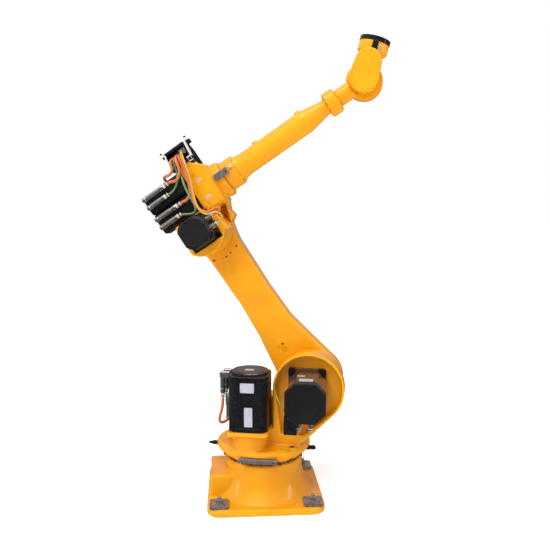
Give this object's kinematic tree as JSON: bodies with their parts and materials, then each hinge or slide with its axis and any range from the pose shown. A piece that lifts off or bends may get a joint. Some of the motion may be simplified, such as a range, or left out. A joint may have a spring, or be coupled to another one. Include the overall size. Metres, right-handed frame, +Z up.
{
  "type": "industrial robot arm",
  "caption": "Six-axis jointed robot arm: square bolted base, turning column, side link arm, tubular forearm with motors behind the elbow, and a forked wrist with a tool flange.",
  "frame": {"origin": "on the axis of joint a1 at the underside of the base plate, which is also the centre of the four holding-down bolts", "axes": "+Z up along the axis of joint a1; +X away from the plug panel of the base; +Y to the left seen from above with +X forward"},
  "size_m": [0.7677, 0.4328, 1.4574],
  "materials": {
    "orange_paint": "gloss",
    "black_paint": "semi-gloss",
    "brown_varnish": "gloss",
    "bare_metal": "satin",
    "plug_metal": "satin",
    "orange_lead": "satin",
    "green_lead": "satin",
    "earth_lead": "satin"
  },
  "bodies": {
    "base": {"base_frame": "orange_paint", "foot_plate_1": "bare_metal", "foot_plate_2": "bare_metal", "foot_plate_3": "bare_metal", "foot_plate_4": "bare_metal", "connector_panel": "bare_metal", "slew_ring": "bare_metal"},
    "column": {"rotating_column": "orange_paint", "stop_bar": "bare_metal", "stop_pegs": "black_paint", "a1_motor_plate": "orange_paint", "a1_motor_body": "black_paint", "a1_motor_top": "brown_varnish", "a1_power_plug": "plug_metal", "a1_encoder_plug": "plug_metal", "junction_box": "bare_metal", "a2_motor_flange": "brown_varnish", "a2_motor_body": "brown_varnish", "a2_motor_cap": "black_paint", "a2_plugs": "plug_metal", "a2_terminal_box": "black_paint", "a1_power_lead": "orange_lead", "a1_encoder_lead": "green_lead", "a2_earth_lead": "earth_lead"},
    "link_arm": {"link_arm_casting": "orange_paint", "a2_gear_cover": "orange_paint", "a3_gear_cover": "orange_paint"},
    "upper_arm": {"elbow_housing": "orange_paint", "housing_cover": "orange_paint", "a3_motor_body": "black_paint", "a3_motor_cap": "black_paint", "a3_plugs": "plug_metal", "wrist_motor_lower": "black_paint", "wrist_motor_upper": "black_paint", "wrist_motor_far": "black_paint", "wrist_plugs": "plug_metal", "harness_frame": "black_paint", "harness_box": "black_paint", "index_plate": "bare_metal", "power_lead_upper": "orange_lead", "power_lead_lower": "orange_lead", "encoder_lead_upper": "green_lead", "encoder_lead_lower": "green_lead", "a3_power_lead": "orange_lead", "a3_encoder_lead": "orange_lead", "far_motor_lead": "orange_lead"},
    "forearm": {"tube_flange": "orange_paint", "forearm_tube": "orange_paint", "wrist_ring": "orange_paint", "wrist_fork": "orange_paint"},
    "hand": {"hand_body": "orange_paint", "belt_cover": "orange_paint"},
    "tool_flange": {"tool_flange": "black_paint"}
  },
  "joints": [
    {"name": "a1", "type": "hinge", "parent": "base", "child": "column", "pos_m": [0, 0, 0], "axis": [0, 0, 1], "range_deg": [-143, 167]},
    {"name": "a2", "type": "hinge", "parent": "column", "child": "link_arm", "pos_m": [0.14949, -0.03259, 0.37], "axis": [0.213, 0.977, 0], "range_deg": [-55, 190]},
    {"name": "a3", "type": "hinge", "parent": "link_arm", "child": "upper_arm", "pos_m": [-0.18542, 0.04043, 0.86245], "axis": [-0.213, -0.977, 0], "range_deg": [-67, 106]},
    {"name": "a4", "type": "hinge", "parent": "upper_arm", "child": "forearm", "pos_m": [-0.11603, 0.0253, 1.03477], "axis": [0.8112, -0.1769, 0.5573], "range_deg": [-350, 350]},
    {"name": "a5", "type": "hinge", "parent": "forearm", "child": "hand", "pos_m": [0.30582, -0.06668, 1.32457], "axis": [-0.213, -0.977, 0], "range_deg": [-171, 89]},
    {"name": "a6", "type": "hinge", "parent": "hand", "child": "tool_flange", "pos_m": [0.33453, -0.07294, 1.43265], "axis": [0.2563, -0.0559, 0.965], "range_deg": [-350, 350]}
  ]
}
